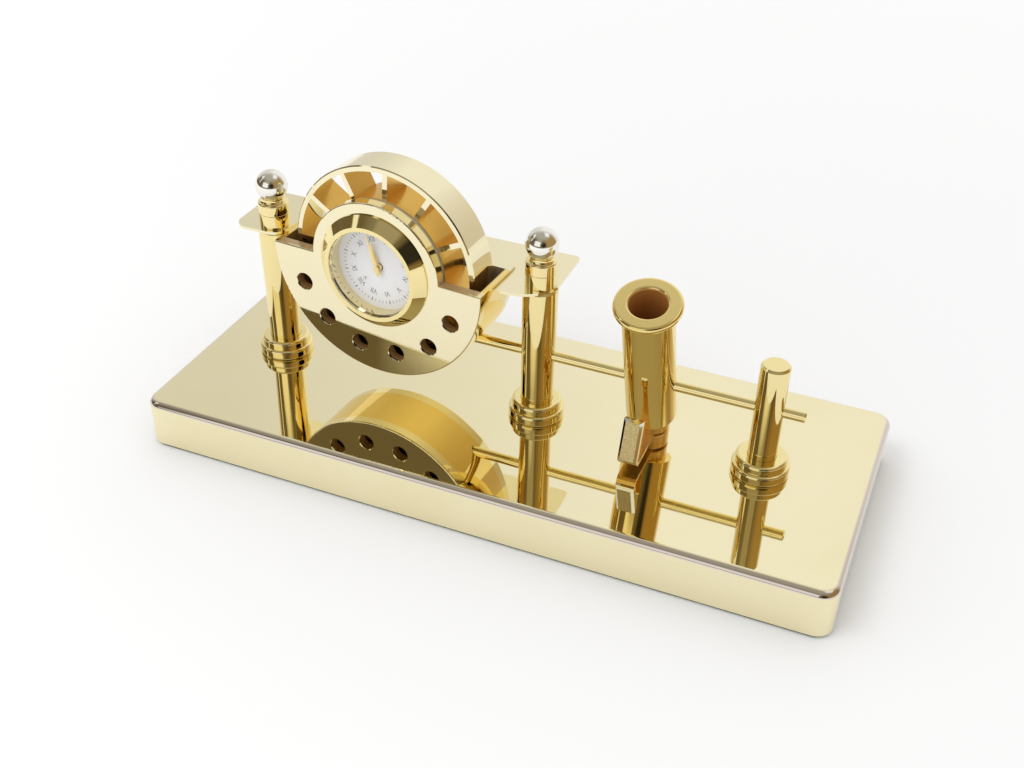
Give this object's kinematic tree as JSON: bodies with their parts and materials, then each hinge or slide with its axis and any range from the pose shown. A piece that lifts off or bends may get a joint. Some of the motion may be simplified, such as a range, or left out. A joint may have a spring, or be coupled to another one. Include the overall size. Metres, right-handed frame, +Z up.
{
  "type": "desk clock",
  "caption": "Polished gold-plated desk clock: a quartz clock insert in a half-round casing with a bladed wheel, on a block base with turned posts, a long rod and a leaning pen tube.",
  "frame": {"origin": "middle of the base's footprint, on the surface the felt stands on", "axes": "+X along the base to the right as one reads the clock, +Y to the back, +Z up"},
  "size_m": [0.2, 0.0824, 0.0859],
  "materials": {
    "gold_plated_brass": "mirror polished, gold plated",
    "board": "raw fibre board",
    "felt": "dark green felt",
    "plated_steel": "zinc plated",
    "bright_metal": "polished, silvery",
    "clear_glass": "clear, slightly domed",
    "white_dial": "satin white with grey print",
    "black_plastic": "matt black",
    "cell_steel": "nickel plated",
    "grip_rubber": "matt rubber",
    "spacer_plastic": "natural nylon"
  },
  "bodies": {
    "stand": {"back_spacer": "spacer_plastic", "base_core": "board", "base_cover": "gold_plated_brass", "bearing_sleeve": "gold_plated_brass", "carrier_plate": "gold_plated_brass", "casing_back": "gold_plated_brass", "casing_front": "gold_plated_brass", "casing_wall": "gold_plated_brass", "felt_pad": "felt", "front_spacer": "spacer_plastic", "hook_pad": "bright_metal", "hook_strip": "gold_plated_brass", "left_post_finial": "gold_plated_brass", "left_post_foot": "gold_plated_brass", "left_post_screw": "plated_steel", "left_post_shaft": "gold_plated_brass", "left_post_sleeve": "gold_plated_brass", "middle_post_finial": "gold_plated_brass", "middle_post_foot": "gold_plated_brass", "middle_post_screw": "plated_steel", "middle_post_shaft": "gold_plated_brass", "middle_post_sleeve": "gold_plated_brass", "pen_neck": "gold_plated_brass", "pen_tube": "gold_plated_brass", "pen_tube_screw": "plated_steel", "pen_washer": "gold_plated_brass", "right_post_foot": "gold_plated_brass", "right_post_screw": "plated_steel", "right_post_shaft": "gold_plated_brass", "rod": "gold_plated_brass"},
    "wheel": {"wheel_blade_01": "gold_plated_brass", "wheel_blade_02": "gold_plated_brass", "wheel_blade_03": "gold_plated_brass", "wheel_blade_04": "gold_plated_brass", "wheel_blade_05": "gold_plated_brass", "wheel_blade_06": "gold_plated_brass", "wheel_blade_07": "gold_plated_brass", "wheel_blade_08": "gold_plated_brass", "wheel_blade_09": "gold_plated_brass", "wheel_blade_10": "gold_plated_brass", "wheel_blade_11": "gold_plated_brass", "wheel_blade_12": "gold_plated_brass", "wheel_hub": "gold_plated_brass", "wheel_rim": "gold_plated_brass"},
    "clock": {"clock_bezel": "gold_plated_brass", "clock_glass": "clear_glass", "clock_case": "gold_plated_brass", "clock_grip_ring": "grip_rubber", "clock_dial": "white_dial", "clock_movement": "black_plastic", "clock_battery": "cell_steel", "clock_back_cover": "black_plastic"},
    "minute_hand": {"clock_minute_hand": "gold_plated_brass"},
    "hour_hand": {"clock_hour_hand": "gold_plated_brass"},
    "setting_knob": {"clock_setting_knob": "black_plastic"}
  },
  "joints": [
    {"name": "wheel_spin", "type": "hinge", "parent": "stand", "child": "wheel", "pos_m": [-0.0379, -0.0128, 0.0576], "axis": [0.0785, 0.9969, 0], "continuous": true},
    {"name": "clock_pull", "type": "slide", "parent": "stand", "child": "clock", "axis": [-0.0785, -0.9969, 0], "range_m": [0, 0.014]},
    {"name": "knob_turn", "type": "hinge", "parent": "clock", "child": "setting_knob", "pos_m": [-0.03142, -0.01331, 0.0576], "axis": [0.0785, 0.9969, 0], "continuous": true},
    {"name": "minute_hand_turn", "type": "hinge", "parent": "clock", "child": "minute_hand", "pos_m": [-0.0379, -0.0128, 0.0576], "axis": [0.0785, 0.9969, 0], "continuous": true},
    {"name": "hour_hand_turn", "type": "hinge", "parent": "clock", "child": "hour_hand", "pos_m": [-0.0379, -0.0128, 0.0576], "axis": [0.0785, 0.9969, 0], "continuous": true}
  ],
  "couplings": [
    {"joint": "minute_hand_turn", "follows": "knob_turn", "ratio": -1},
    {"joint": "hour_hand_turn", "follows": "knob_turn", "ratio": -0.083333}
  ]
}
